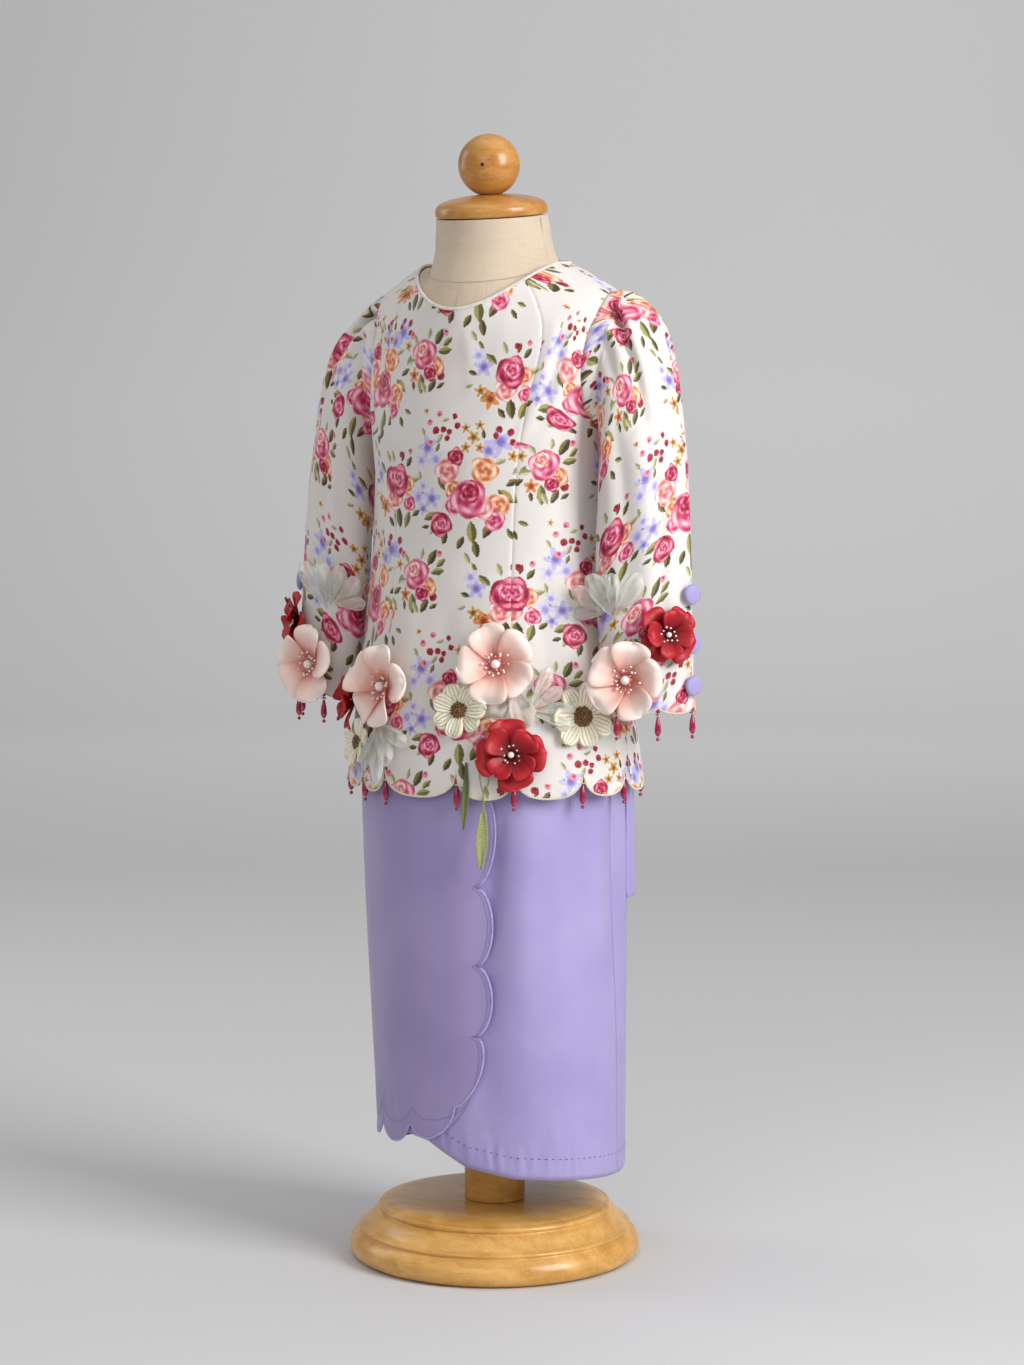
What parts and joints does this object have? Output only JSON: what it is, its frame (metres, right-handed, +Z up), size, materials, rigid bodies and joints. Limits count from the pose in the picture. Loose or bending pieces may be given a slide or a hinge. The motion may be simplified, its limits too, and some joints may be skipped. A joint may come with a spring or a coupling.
{
  "type": "child kebaya ensemble on a dress form",
  "caption": "Child's floral tunic with scalloped, flower-trimmed hem and cuffs over a lilac wrap skirt, worn on a limbless linen dress form with a turned wooden stand.",
  "frame": {"origin": "centre of the underside of the round base", "axes": "+Z up along the pole, -Y towards the front of the garment, +X towards the wearer's left"},
  "size_m": [0.3557, 0.2252, 0.8601],
  "materials": {
    "maple": "varnished",
    "linen": "plain weave",
    "floral_print": "satin, printed with flowers",
    "piping": "satin",
    "lilac_satin": "satin crepe",
    "blush_petal": "smooth",
    "red_petal": "smooth",
    "cream_lace": "embroidered",
    "pale_net": "sheer organza",
    "olive_ribbon": "satin ribbon",
    "crimson_bead": "polished"
  },
  "bodies": {
    "root": {"base": "maple", "pole": "maple", "form_torso": "linen", "neck_cap": "maple", "finial_ball": "maple", "tunic_front_centre": "floral_print", "tunic_side_front_left": "floral_print", "tunic_side_front_right": "floral_print", "tunic_back": "floral_print", "neck_binding": "piping", "sleeve_left": "floral_print", "sleeve_right": "floral_print", "skirt_back": "lilac_satin", "skirt_under_front": "lilac_satin", "skirt_overlap": "lilac_satin", "sash_tail": "lilac_satin", "bloom_red_side": "red_petal", "bloom_blush_side": "blush_petal", "daisy_side": "cream_lace", "daisy_front": "cream_lace", "bloom_blush_front": "blush_petal", "bloom_red_front": "red_petal", "daisy_left": "cream_lace", "net_side": "pale_net", "net_front": "pale_net", "leaf_olive": "olive_ribbon", "leaf_lace": "olive_ribbon", "cuff_bloom_red_left": "red_petal", "cuff_bloom_red_right": "red_petal", "cuff_bloom_blush_left": "blush_petal", "cuff_bloom_blush_right": "blush_petal", "cuff_net_left": "pale_net", "cuff_net_right": "pale_net", "cuff_button_1_left": "lilac_satin", "cuff_button_1_right": "lilac_satin", "cuff_button_2_left": "lilac_satin", "cuff_button_2_right": "lilac_satin", "cuff_button_3_left": "lilac_satin", "cuff_button_3_right": "lilac_satin", "hem_drop_1": "crimson_bead", "hem_drop_2": "crimson_bead", "hem_drop_3": "crimson_bead", "hem_drop_4": "crimson_bead", "hem_drop_5": "crimson_bead", "hem_drop_6": "crimson_bead", "hem_drop_7": "crimson_bead", "hem_drop_8": "crimson_bead", "hem_drop_9": "crimson_bead", "hem_drop_10": "crimson_bead", "hem_drop_11": "crimson_bead", "hem_drop_12": "crimson_bead", "hem_drop_13": "crimson_bead", "hem_drop_14": "crimson_bead", "cuff_drop_left_1": "crimson_bead", "cuff_drop_right_1": "crimson_bead", "cuff_drop_left_2": "crimson_bead", "cuff_drop_right_2": "crimson_bead", "cuff_drop_left_3": "crimson_bead", "cuff_drop_right_3": "crimson_bead"}
  },
  "joints": []
}
